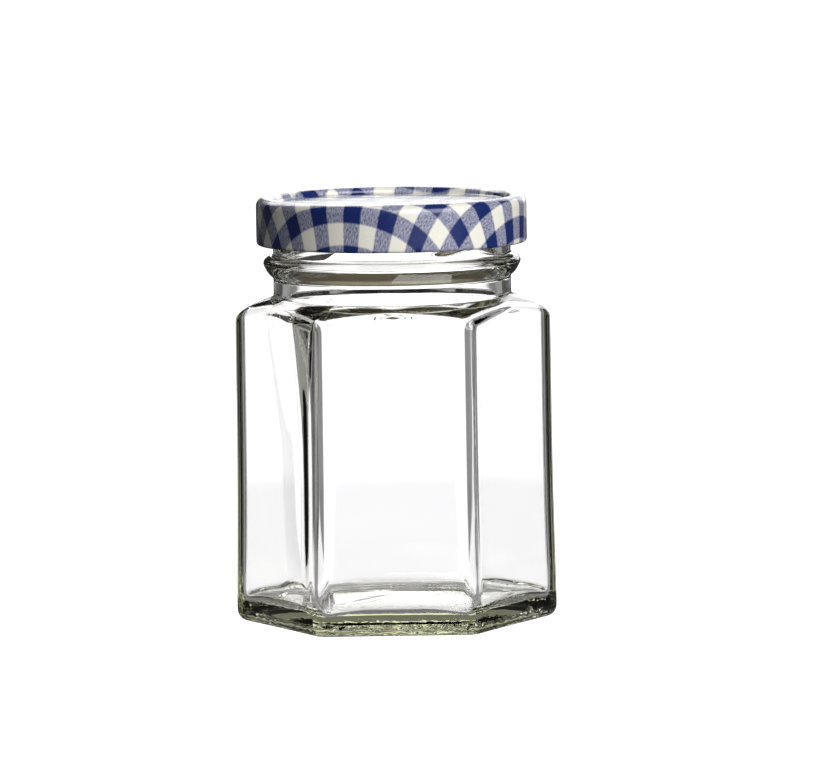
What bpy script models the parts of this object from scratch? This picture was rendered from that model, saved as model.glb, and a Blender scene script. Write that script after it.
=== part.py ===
"""Six-sided clear glass jar with a neck for twist-off lids, and its pressed metal lid.

Metres, +Z up. The origin is the middle of the base, on the surface the jar stands on.
Two corners of the hexagon lie on the X axis, so that a flat side faces -Y.
"""
import math

import bmesh
import bpy

MM = 0.001
SIDES = 6
SECTOR = 2 * math.pi / SIDES

# Body: a hexagon that narrows a little towards its shoulder, with a slight waist
APOTHEM_LOW = 26.64 * MM
APOTHEM_HIGH = 26.03 * MM
WAIST = 0.18 * MM
CORNER_RADIUS = 2.9 * MM
HEEL_RADIUS = 2.5 * MM
WALL_TOP = 58.1 * MM
WALL_RINGS = 5

# Shoulder: rounded over the walls, then nearly flat up to a fillet round the neck
SHOULDER_RADIUS = 2.5 * MM
SHOULDER_TURN = 80
SHOULDER_FOOT_Z = 61.3 * MM
SHOULDER_SAG = 1.3
SHOULDER_FILLET = 0.65 * MM

# Neck, and the bead round it by which the hot jar is carried
NECK_RADIUS = 22.4 * MM
BEAD_RADIUS = 24.3 * MM
BEAD_LOW = 65.2 * MM
BEAD_WIDEST = 67.9 * MM
BEAD_HIGH = 69.3 * MM
BEAD_FLANK = (0.0, 0.35, 0.7, 0.9, 1.0)
BEAD_FLANK_CURVE = 1.5
BEAD_CAP = (0.45, 0.8, 1.0)

# Thread ramps that the lid's lugs ride under, rising to the right seen from outside
RAMPS = 4
RAMP_HEIGHT = 1.2 * MM
RAMP_HALF_WIDTH = 0.85 * MM
RAMP_START_ANGLE = math.radians(-69)
RAMP_LENGTH = math.radians(62)
RAMP_END_TAPER = math.radians(5)
RAMP_START_Z = 71.7 * MM
RAMP_TOP_Z = 76.3 * MM
THREAD_RINGS = 11

# Sealing lip
LIP_TOP = 78.4 * MM
LIP_RADIUS = 0.9 * MM
MOUTH_RADIUS = 20.3 * MM

# Inside of the jar: rounder than the outside, so that the corners are thick
BORE_RADIUS = 20.0 * MM
BORE_RINGS_Z = (73.0 * MM, 60.6 * MM)
INNER_SHOULDER_FILLET = 0.9 * MM
INNER_SHOULDER_FOOT_Z = 59.6 * MM
INNER_SHOULDER_RADIUS = 2.6 * MM
INNER_SHOULDER_TURN = 75
INNER_WALL_TOP = 56.0 * MM
INNER_APOTHEM_LOW = 24.0 * MM
INNER_APOTHEM_HIGH = 23.6 * MM
INNER_CORNER_RADIUS = 9.0 * MM
INNER_HEEL_RADIUS = 4.2 * MM
FLOOR_Z = 3.2 * MM
FLOOR_CROWN = 0.5 * MM
FLOOR_RINGS = (0.7, 0.35)

# Underside: a flat ring that the jar rests on, round a shallow hollow
REST_RING_WIDTH = 2.6 * MM
HOLLOW_STEP = 1.2 * MM
HOLLOW_DEPTH = 1.1 * MM
HOLLOW_RINGS = ((0.45, 1.0), (0.9, 0.85), (1.0, 0.7))

# Lid: a pressed sheet with a sunk panel, a raised rim, a straight skirt and a rolled edge
LID_RADIUS = 25.5 * MM
LID_SHEET = 0.28 * MM
LID_TOP = 80.3 * MM
LID_BOTTOM = 71.4 * MM
LID_PANEL_Z = 79.05 * MM
LID_PANEL_RADIUS = 21.6 * MM
LID_RIM_INNER = 22.0 * MM
LID_RIM_BEND = 1.1 * MM
LID_SHOULDER_BEND = 1.55 * MM
LID_CURL_RADIUS = 0.55 * MM
LID_CURL_TUCK = 1.5 * MM

# Lugs pressed inwards from the rolled edge
LUGS = 4
LUG_ANGLE = math.radians(-117)
LUG_HALF_WIDTH = math.radians(7.5)
LUG_REACH = 1.05 * MM
LUG_LIFT = 0.3 * MM

# Points along a quarter of an arc, and round a ring
ARC_STEPS = 4
LID_SEGMENTS = 60
CORNER_FAN = (0.34, 0.68, 1.0)
FACE_FAN = (0.08, 0.27, 0.6)
SHARP_ANGLE = math.radians(40)


def mix(low, high, share):
    """Value between two others."""
    return low + (high - low) * share


def arc(centre, radius, start, end, steps=ARC_STEPS):
    """Points (across, up) of an arc between two directions in degrees."""
    points = []
    for step in range(steps + 1):
        turn = math.radians(mix(start, end, step / steps))
        across = centre[0] + radius * math.cos(turn)
        up = centre[1] + radius * math.sin(turn)
        points.append((across, up))
    return points


def corner_centre(apothem, corner):
    """Distance from the axis to the middle of a corner's rounding."""
    return (apothem - corner) / math.cos(SECTOR / 2)


def corner_arc_end(apothem, corner):
    """Direction, from a corner's own, at which its rounding meets the flat side."""
    along = corner_centre(apothem, corner) + corner * math.cos(SECTOR / 2)
    return math.atan2(corner * math.sin(SECTOR / 2), along)


def hexagon_radius(angle, apothem, corner):
    """Distance from the axis to a hexagon with rounded corners, in one direction."""
    turn = abs((angle + SECTOR / 2) % SECTOR - SECTOR / 2)
    if turn >= corner_arc_end(apothem, corner):
        return apothem / math.cos(SECTOR / 2 - turn)
    centre = corner_centre(apothem, corner)
    across = centre * math.sin(turn)
    return centre * math.cos(turn) + math.sqrt(corner ** 2 - across ** 2)


def sector_turns():
    """Directions of one sector's points from its corner's own, densest at the corner."""
    end = corner_arc_end(APOTHEM_LOW, CORNER_RADIUS)
    near = [end * share for share in CORNER_FAN]
    far = [mix(end, SECTOR / 2, share) for share in FACE_FAN]
    right = near + far
    left = [-turn for turn in reversed(right)]
    return [-SECTOR / 2] + left + [0.0] + right


TURNS = sector_turns()
POINTS = SIDES * len(TURNS)


def direction(index, evenness):
    """Direction of a ring's point: dense at the corners at 0, even all round at 1."""
    sector, place = divmod(index, len(TURNS))
    dense = sector * SECTOR + TURNS[place]
    even = 2 * math.pi * index / POINTS - SECTOR / 2
    return mix(dense, even, evenness)


def ring(radius_at, height, evenness=0.0):
    """Closed ring of points at one height, with a radius for each direction."""
    points = []
    for index in range(POINTS):
        angle = direction(index, evenness)
        radius = radius_at(angle)
        points.append((radius * math.cos(angle), radius * math.sin(angle), height))
    return points


def circle(radius):
    """Radius function of a round ring."""
    return lambda angle: radius


def hexagon(apothem, corner):
    """Radius function of a six-sided ring."""
    return lambda angle: hexagon_radius(angle, apothem, corner)


def inset(outline, depth):
    """Radius function of an outline drawn in towards the axis."""
    return lambda angle: outline(angle) - depth


def between(outline, radius, share):
    """Radius function between an outline and a circle."""
    return lambda angle: mix(outline(angle), radius, share)


def outer_apothem(height):
    """Half the width across flats of the body at a height."""
    share = height / WALL_TOP
    return mix(APOTHEM_LOW, APOTHEM_HIGH, share) - WAIST * math.sin(math.pi * share) ** 2


def inner_apothem(height):
    """Half the width across flats of the jar's inside at a height."""
    return mix(INNER_APOTHEM_LOW, INNER_APOTHEM_HIGH, height / INNER_WALL_TOP)


def underside_rings():
    """Shallow hollow in the base, then the flat ring that the jar rests on."""
    rest_outer = outer_apothem(0.0) - HEEL_RADIUS
    rest_inner = rest_outer - REST_RING_WIDTH
    hollow = rest_inner - HOLLOW_STEP
    rings = [ring(circle(hollow * r), HOLLOW_DEPTH * z) for r, z in HOLLOW_RINGS]
    rings.append(ring(circle(rest_inner), 0.0))
    rings.append(ring(hexagon(rest_outer, CORNER_RADIUS), 0.0))
    return rings


def wall_rings():
    """Rounded heel, then the six flat sides."""
    rings = []
    for depth, height in arc((-HEEL_RADIUS, HEEL_RADIUS), HEEL_RADIUS, -90, 0)[1:]:
        rings.append(ring(hexagon(outer_apothem(height) + depth, CORNER_RADIUS), height))
    for step in range(1, WALL_RINGS + 1):
        height = mix(HEEL_RADIUS, WALL_TOP, step / WALL_RINGS)
        rings.append(ring(hexagon(outer_apothem(height), CORNER_RADIUS), height))
    return rings


def shoulder_rings():
    """Rounding over the walls, the shoulder's slope, and the fillet up to the neck."""
    wall = hexagon(APOTHEM_HIGH, CORNER_RADIUS)
    rounding = arc((-SHOULDER_RADIUS, WALL_TOP), SHOULDER_RADIUS, 0, SHOULDER_TURN)[1:]
    rings = [ring(inset(wall, -across), height) for across, height in rounding]
    edge = inset(wall, -rounding[-1][0])
    edge_z = rounding[-1][1]
    foot = NECK_RADIUS + SHOULDER_FILLET
    middle_z = mix(edge_z, SHOULDER_FOOT_Z, 0.5 ** SHOULDER_SAG)
    rings.append(ring(between(edge, foot, 0.5), middle_z, 0.4))
    rings.append(ring(circle(foot), SHOULDER_FOOT_Z, 0.8))
    centre = (foot, SHOULDER_FOOT_Z + SHOULDER_FILLET)
    for radius, height in arc(centre, SHOULDER_FILLET, -90, -180, 2)[1:]:
        rings.append(ring(circle(radius), height, 1.0))
    return rings


def bead_rings():
    """Carrying bead: a long flank below, the widest line, and a short round top."""
    rings = []
    rise = BEAD_RADIUS - NECK_RADIUS
    for share in BEAD_FLANK:
        swell = math.sin(math.pi / 2 * share) ** BEAD_FLANK_CURVE
        height = mix(BEAD_LOW, BEAD_WIDEST, share)
        rings.append(ring(circle(NECK_RADIUS + rise * swell), height, 1.0))
    for share in BEAD_CAP:
        swell = math.sqrt(1 - share ** 2)
        height = mix(BEAD_WIDEST, BEAD_HIGH, share)
        rings.append(ring(circle(NECK_RADIUS + rise * swell), height, 1.0))
    return rings


def ramp_share(angle, height):
    """How far a thread ramp stands out of the neck at a point, from 0 to 1."""
    along = (angle - RAMP_START_ANGLE) % (2 * math.pi / RAMPS)
    middle = mix(RAMP_START_Z, RAMP_TOP_Z, along / RAMP_LENGTH)
    across = abs(height - middle) / RAMP_HALF_WIDTH
    if along > RAMP_LENGTH or across > 1:
        return 0.0
    ends = min(along, RAMP_LENGTH - along) / RAMP_END_TAPER
    return math.cos(math.pi / 2 * across) * min(1.0, ends)


def threaded(height):
    """Radius function of the neck with its thread ramps, at a height."""
    return lambda angle: NECK_RADIUS + RAMP_HEIGHT * ramp_share(angle, height)


def finish_rings():
    """Threaded part of the neck and the rounded lip, over into the mouth."""
    rings = []
    low = BEAD_HIGH + RAMP_HALF_WIDTH
    high = LIP_TOP - LIP_RADIUS
    for step in range(THREAD_RINGS + 1):
        height = mix(low, high, step / THREAD_RINGS)
        rings.append(ring(threaded(height), height, 1.0))
    for radius, height in arc((NECK_RADIUS - LIP_RADIUS, high), LIP_RADIUS, 0, 90)[1:]:
        rings.append(ring(circle(radius), height, 1.0))
    for radius, height in arc((MOUTH_RADIUS + LIP_RADIUS, high), LIP_RADIUS, 90, 180):
        rings.append(ring(circle(radius), height, 1.0))
    return rings


def inner_rings():
    """Bore of the neck, the inner shoulder, the walls, the inner heel and the floor."""
    rings = [ring(circle(BORE_RADIUS), height, 1.0) for height in BORE_RINGS_Z]
    foot = BORE_RADIUS + INNER_SHOULDER_FILLET
    rings.append(ring(circle(foot), INNER_SHOULDER_FOOT_Z, 0.7))
    wall = hexagon(INNER_APOTHEM_HIGH, INNER_CORNER_RADIUS)
    centre = (-INNER_SHOULDER_RADIUS, INNER_WALL_TOP)
    for across, height in arc(centre, INNER_SHOULDER_RADIUS, INNER_SHOULDER_TURN, 0):
        rings.append(ring(inset(wall, -across), height))
    heel_z = FLOOR_Z + INNER_HEEL_RADIUS
    for share in (0.5, 1.0):
        height = mix(INNER_WALL_TOP, heel_z, share)
        rings.append(ring(hexagon(inner_apothem(height), INNER_CORNER_RADIUS), height))
    edge = hexagon(inner_apothem(heel_z), INNER_CORNER_RADIUS)
    for across, height in arc((-INNER_HEEL_RADIUS, heel_z), INNER_HEEL_RADIUS, 0, -90)[1:]:
        rings.append(ring(inset(edge, -across), height))
    for share in FLOOR_RINGS:
        radius = share * (INNER_APOTHEM_LOW - INNER_HEEL_RADIUS)
        rings.append(ring(circle(radius), FLOOR_Z + FLOOR_CROWN * (1 - share ** 2)))
    return rings


def lug_share(angle):
    """How far a lug is pressed in at an angle, from 0 to 1."""
    spacing = 2 * math.pi / LUGS
    off = abs((angle - LUG_ANGLE + spacing / 2) % spacing - spacing / 2)
    return max(0.0, min(1.0, 2 * (1 - off / LUG_HALF_WIDTH)))


def lid_ring(radius, height, pressed=False):
    """Round ring of the lid, with the lugs pressed in where it is part of them."""
    points = []
    for index in range(LID_SEGMENTS):
        angle = 2 * math.pi * index / LID_SEGMENTS
        share = lug_share(angle) if pressed else 0.0
        reach = radius - LUG_REACH * share
        rise = height + LUG_LIFT * share
        points.append((reach * math.cos(angle), reach * math.sin(angle), rise))
    return points


def lid_crown(depth):
    """Profile (radius, height) from the panel over the rim to the skirt, deep in the sheet."""
    rim = (LID_RIM_INNER + LID_RIM_BEND, LID_TOP - LID_RIM_BEND)
    shoulder = (LID_RADIUS - LID_SHOULDER_BEND, LID_TOP - LID_SHOULDER_BEND)
    profile = [(LID_PANEL_RADIUS / 2, LID_PANEL_Z - depth)]
    profile.append((LID_PANEL_RADIUS + depth / 2, LID_PANEL_Z - depth))
    profile += arc(rim, LID_RIM_BEND - depth, 180, 90)
    profile += arc(shoulder, LID_SHOULDER_BEND - depth, 90, 0)
    return profile


def lid_rings():
    """Rings of the lid from under its panel, round the rolled edge, to its top."""
    rings = [lid_ring(radius, height) for radius, height in lid_crown(LID_SHEET)]
    curl = (LID_RADIUS - LID_CURL_RADIUS, LID_BOTTOM + LID_CURL_RADIUS)
    rings.append(lid_ring(LID_RADIUS - LID_SHEET, LID_BOTTOM + LID_CURL_TUCK))
    for radius, height in arc(curl, LID_CURL_RADIUS, 120, 270):
        rings.append(lid_ring(radius, height, radius < curl[0] - LID_CURL_RADIUS / 4))
    rings += [lid_ring(r, z) for r, z in arc(curl, LID_CURL_RADIUS, 270, 360, 2)[1:]]
    rings += [lid_ring(radius, height) for radius, height in reversed(lid_crown(0.0))]
    return rings


def loft(name, first_pole, rings, last_pole):
    """Closed skin from a point, over a row of rings, to another point."""
    shape = bmesh.new()
    loops = [[shape.verts.new(point) for point in points] for points in rings]
    first = shape.verts.new(first_pole)
    last = shape.verts.new(last_pole)
    count = len(rings[0])
    for place in range(count):
        after = (place + 1) % count
        shape.faces.new((first, loops[0][after], loops[0][place]))
        shape.faces.new((last, loops[-1][place], loops[-1][after]))
        for low, high in zip(loops, loops[1:]):
            shape.faces.new((low[place], low[after], high[after], high[place]))
    mesh = bpy.data.meshes.new(name)
    shape.to_mesh(mesh)
    shape.free()
    mesh.shade_smooth()
    mesh.set_sharp_from_angle(angle=SHARP_ANGLE)
    body = bpy.data.objects.new(name, mesh)
    bpy.context.scene.collection.objects.link(body)
    return body


def surface(name, colour, roughness, metallic=0.0, transmission=0.0):
    """Principled material in one colour."""
    material = bpy.data.materials.new(name)
    material.use_nodes = True
    shader = material.node_tree.nodes["Principled BSDF"]
    shader.inputs["Base Color"].default_value = (*colour, 1.0)
    shader.inputs["Roughness"].default_value = roughness
    shader.inputs["Metallic"].default_value = metallic
    shader.inputs["Transmission Weight"].default_value = transmission
    material.diffuse_color = (*colour, 1.0)
    return material


def make_jar():
    """Glass jar: one closed skin from under its base, over the lip, to its floor."""
    rings = underside_rings() + wall_rings() + shoulder_rings()
    rings += bead_rings() + finish_rings() + inner_rings()
    low = (0.0, 0.0, HOLLOW_DEPTH)
    high = (0.0, 0.0, FLOOR_Z + FLOOR_CROWN)
    jar = loft("glass_jar", low, rings, high)
    jar.data.materials.append(surface("clear_glass", (0.86, 0.92, 0.86), 0.03, 0.0, 1.0))


def make_lid():
    """Pressed lid: one closed skin from the underside of its panel to its top."""
    low = (0.0, 0.0, LID_PANEL_Z - LID_SHEET)
    high = (0.0, 0.0, LID_PANEL_Z)
    lid = loft("lid", low, lid_rings(), high)
    lid.data.materials.append(surface("printed_tinplate", (0.12, 0.16, 0.33), 0.3, 0.3))


def clear_scene():
    """Remove every object that the scene starts with."""
    for item in list(bpy.data.objects):
        bpy.data.objects.remove(item, do_unlink=True)


clear_scene()
make_jar()
make_lid()
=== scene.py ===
"""Looks of a six-sided preserve jar: clear moulded glass and a gingham-printed twist-off lid.

Metres, +Z up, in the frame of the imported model: the jar stands on the origin and shows a
flat side to -Y, where the camera is.
"""

import logging
import math
from collections import defaultdict
from collections.abc import Callable
from dataclasses import dataclass, field
from enum import Enum

import bmesh
import bpy
from mathutils import Matrix, Vector


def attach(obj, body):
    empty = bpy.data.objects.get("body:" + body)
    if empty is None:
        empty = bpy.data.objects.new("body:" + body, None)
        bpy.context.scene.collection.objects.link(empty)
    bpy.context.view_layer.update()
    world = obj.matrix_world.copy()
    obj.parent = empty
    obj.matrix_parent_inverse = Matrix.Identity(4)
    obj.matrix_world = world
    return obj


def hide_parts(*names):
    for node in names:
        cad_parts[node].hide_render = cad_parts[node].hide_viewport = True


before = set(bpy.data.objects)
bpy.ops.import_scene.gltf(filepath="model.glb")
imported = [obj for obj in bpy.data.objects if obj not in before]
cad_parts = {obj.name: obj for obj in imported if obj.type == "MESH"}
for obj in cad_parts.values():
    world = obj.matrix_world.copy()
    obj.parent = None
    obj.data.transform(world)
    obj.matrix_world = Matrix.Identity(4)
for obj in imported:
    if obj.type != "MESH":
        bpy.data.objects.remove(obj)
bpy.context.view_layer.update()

MM = 0.001
SIDES = 6
SECTOR = math.tau / SIDES
EIGHTH = math.tau / 8
CORNER_REACH = 0.14  # How much farther out a rounded corner is than the middle of a side.
SEAM = 0.01  # Turn in radians that keeps a ring's first point first in spite of rounding.
DIGITS = 6  # How finely the scales and turns of a ring's points are told apart.
TINY = 1e-6
BAND_RATE = 20.0  # Radians that a band texture of scale 1 turns through in a metre.
COOL_WHITE = (0.965, 0.955, 1.0, 1.0)
BODY = "root"
LOG = logging.getLogger("jar")

Colour = tuple[float, float, float, float]
Point = tuple[float, float]
Rings = tuple[float, ...]
Stops = tuple[Point, ...]
RadiusAt = Callable[[float], float]


def linear(code: str) -> Colour:
    """Turn an sRGB hex colour into linear red, green, blue and alpha.

    Args:
        code: Six hex digits, with or without a leading hash.

    Returns:
        The linear colour with an alpha of one.
    """
    digits = code.lstrip("#")
    parts = [int(digits[start:start + 2], 16) / 255 for start in (0, 2, 4)]
    red, green, blue = (
        part / 12.92 if part <= 0.04045 else ((part + 0.055) / 1.055) ** 2.4 for part in parts
    )
    return (red, green, blue, 1.0)


def mix(low: float, high: float, share: float) -> float:
    """Return the value a share of the way from low to high."""
    return low + (high - low) * share


def wrapped(turn: float, period: float) -> float:
    """Return a turn brought to within half a period of zero."""
    return (turn + period / 2) % period - period / 2


def arc(centre: Point, radius: float, start: float, end: float, steps: int) -> list[Point]:
    """Points along an arc in a profile's plane.

    Args:
        centre: Middle of the arc, across and up.
        radius: Radius of the arc.
        start: First direction in degrees.
        end: Last direction in degrees.
        steps: Number of equal parts.

    Returns:
        The points (across, up), both ends included.
    """
    turns = [math.radians(mix(start, end, step / steps)) for step in range(steps + 1)]
    return [
        (centre[0] + radius * math.cos(turn), centre[1] + radius * math.sin(turn))
        for turn in turns
    ]


def add_node(
    tree: bpy.types.NodeTree,
    kind: str,
    settings: dict[str, object],
    inputs: dict[str | int, object],
) -> bpy.types.Node:
    """Add a node, set its options, and fill or link its inputs.

    Args:
        tree: Node tree that takes the node.
        kind: Blender's type name of the node.
        settings: Attributes to set on the node.
        inputs: Socket names or numbers, each with a value or with an output to link from.

    Returns:
        The new node.
    """
    node = tree.nodes.new(kind)
    for name, value in settings.items():
        setattr(node, name, value)
    for key, value in inputs.items():
        if isinstance(value, bpy.types.NodeSocket):
            tree.links.new(value, node.inputs[key])
        else:
            node.inputs[key].default_value = value
    return node


def new_material(name: str) -> tuple[bpy.types.Material, bpy.types.NodeTree]:
    """Make an empty node material.

    Args:
        name: Name of the real material.

    Returns:
        The material and its node tree, without nodes.
    """
    material = bpy.data.materials.new(name)
    material.use_nodes = True
    material.node_tree.nodes.clear()
    return material, material.node_tree


class Facing(Enum):
    """Which way a run of rings of a hollow body looks."""

    OUTSIDE = "outside"
    INSIDE = "inside"


@dataclass
class RingCage:
    """Closed skin grown from a small disc by extruding its last face, ring after ring.

    Attributes:
        name: Name of the piece.
        points: Points in each ring.
        turns: Directions in radians of the points between one corner and the next, where
            rings are crowded at the corners; empty for rings that are even all round.
    """

    name: str
    points: int
    turns: Rings = ()
    height: float = 0.0
    rings: dict[Facing, list[int]] = field(default_factory=lambda: defaultdict(list))
    body: bpy.types.Object | None = None

    def begin(self, radius: float, height: float) -> None:
        """Add the first disc and open it in edit mode.

        Args:
            radius: Radius of the disc.
            height: Height of the disc.
        """
        bpy.ops.object.select_all(action="DESELECT")
        bpy.ops.mesh.primitive_circle_add(
            vertices=self.points, radius=radius, fill_type="NGON", location=(0, 0, height)
        )
        self.body = bpy.context.object
        self.body.name = self.name
        self.body.data.name = self.name
        self.height = height
        bpy.ops.object.transform_apply(location=True, rotation=True, scale=True)
        bpy.ops.object.mode_set(mode="EDIT")
        bpy.ops.mesh.select_all(action="SELECT")

    def direction(self, place: int, evenness: float) -> float:
        """Direction of a ring's point, counted from the first corner.

        Args:
            place: Number of the point.
            evenness: 0 for points crowded at the corners, 1 for even ones.

        Returns:
            The direction in radians.
        """
        even = math.tau * place / self.points
        if not self.turns:
            return even
        sector, step = divmod(place, len(self.turns))
        return mix(sector * SECTOR + self.turns[step], even, evenness)

    def grow(
        self,
        height: float,
        radius_at: RadiusAt,
        evenness: float = 1.0,
        facing: Facing = Facing.OUTSIDE,
    ) -> None:
        """Extrude the last face to a new height and shape its rim.

        Args:
            height: Height of the new ring.
            radius_at: Radius of the ring in each direction.
            evenness: 0 for points crowded at the corners, 1 for even ones.
            facing: Run of rings that the new one belongs to.
        """
        rise = {"value": (0.0, 0.0, height - self.height)}
        bpy.ops.mesh.extrude_region_move(TRANSFORM_OT_translate=rise)
        self.height = height
        self.rings[facing] += self.shape(radius_at, evenness)

    def shape(self, radius_at: RadiusAt, evenness: float) -> list[int]:
        """Scale and turn the selected ring's points, all that move alike at once.

        Args:
            radius_at: Radius of the ring in each direction.
            evenness: 0 for points crowded at the corners, 1 for even ones.

        Returns:
            The numbers of the ring's points.
        """
        skin = bmesh.from_edit_mesh(self.body.data)
        skin.verts.index_update()
        ring = [vert for vert in skin.verts if vert.select]
        ring.sort(key=lambda vert: (math.atan2(vert.co.y, vert.co.x) + SEAM) % math.tau)
        moves = defaultdict(list)
        for place, vert in enumerate(ring):
            goal = self.direction(place, evenness)
            now = math.atan2(vert.co.y, vert.co.x)
            turn = wrapped(goal - now, math.tau)
            scale = radius_at(goal) / vert.co.xy.length
            moves[(round(scale, DIGITS), round(turn, DIGITS))].append(vert.index)
        numbers = [vert.index for vert in ring]
        centre = (0.0, 0.0, self.height)
        for (scale, turn), group in moves.items():
            self.select(numbers, group)
            if abs(scale - 1) > TINY:
                bpy.ops.transform.resize(value=(scale, scale, 1.0), center_override=centre)
            if abs(turn) > TINY:
                bpy.ops.transform.rotate(value=-turn, orient_axis="Z", center_override=centre)
        self.select(numbers, numbers)
        return numbers

    def select(self, ring: list[int], wanted: list[int]) -> None:
        """Select some points of a ring, and the face inside it if all are wanted.

        Args:
            ring: Numbers of the ring's points.
            wanted: Numbers of the points to select.
        """
        skin = bmesh.from_edit_mesh(self.body.data)
        skin.verts.ensure_lookup_table()
        for number in ring:
            skin.verts[number].select_set(False)
        for number in wanted:
            skin.verts[number].select_set(True)
        skin.select_flush(True)

    def finish(self, levels: int) -> bpy.types.Object:
        """Face the skin outwards, round it by subdivision, and shade it smooth.

        Args:
            levels: Subdivision levels.

        Returns:
            The finished object, at the origin.
        """
        bpy.ops.mesh.select_all(action="SELECT")
        bpy.ops.mesh.normals_make_consistent(inside=False)
        bpy.ops.object.mode_set(mode="OBJECT")
        for facing, numbers in self.rings.items():
            self.body.vertex_groups.new(name=facing.value).add(numbers, 1.0, "REPLACE")
        rounding = self.body.modifiers.new("rounding", "SUBSURF")
        rounding.levels = levels
        rounding.render_levels = levels
        apply_modifiers(self.body)
        bpy.ops.object.shade_smooth()
        return self.body


def apply_modifiers(body: bpy.types.Object) -> None:
    """Apply all of an object's modifiers in their order.

    Args:
        body: The object, in object mode.
    """
    bpy.ops.object.select_all(action="DESELECT")
    body.select_set(True)
    bpy.context.view_layer.objects.active = body
    for name in [modifier.name for modifier in body.modifiers]:
        bpy.ops.object.modifier_apply(modifier=name)


def circle(radius: float) -> RadiusAt:
    """Return the radius function of a round ring."""
    return lambda direction: radius


def hexagon(apothem: float, corner: float) -> RadiusAt:
    """Radius function of a hexagon with rounded corners.

    Args:
        apothem: Half the width across flats.
        corner: Radius of the corners in plan.

    Returns:
        The radius for each direction.
    """
    half = SECTOR / 2
    centre = (apothem - corner) / math.cos(half)
    end = math.atan2(corner * math.sin(half), centre + corner * math.cos(half))

    def radius_at(direction: float) -> float:
        """Distance from the axis to the rounded outline.

        Args:
            direction: Direction in radians.

        Returns:
            The radius in that direction.
        """
        turn = abs(wrapped(direction, SECTOR))
        if turn >= end:
            return apothem / math.cos(half - turn)
        across = centre * math.sin(turn)
        return centre * math.cos(turn) + math.sqrt(corner ** 2 - across ** 2)

    return radius_at


def inset(outline: RadiusAt, depth: float) -> RadiusAt:
    """Return an outline's radius function drawn in towards the axis."""
    return lambda direction: outline(direction) - depth


def between(outline: RadiusAt, radius: float, share: float) -> RadiusAt:
    """Return a radius function a share of the way from an outline to a circle."""
    return lambda direction: mix(outline(direction), radius, share)


def under_dome(outline: RadiusAt, dome: float, blend: Point) -> RadiusAt:
    """Cut an outline off by a round dome, with a soft edge where they meet.

    Args:
        outline: Radius function of the walls.
        dome: Radius of the dome at the ring's height.
        blend: How wide the soft edge is, in the middle of a side and at a corner.

    Returns:
        The lesser of the two radii in each direction, blended.
    """

    def radius_at(direction: float) -> float:
        """Lesser of the wall's and the dome's radius, blended.

        Args:
            direction: Direction in radians.

        Returns:
            The radius in that direction.
        """
        wall = outline(direction)
        beyond = max(wall / outline(SECTOR / 2) - 1, 0.0)
        cornered = min(math.sqrt(beyond / CORNER_REACH), 1.0)
        width = mix(blend[0], blend[1], cornered)
        near = max(width - abs(wall - dome), 0.0) / width
        return min(wall, dome) - near * near * width / 4

    return radius_at


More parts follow.
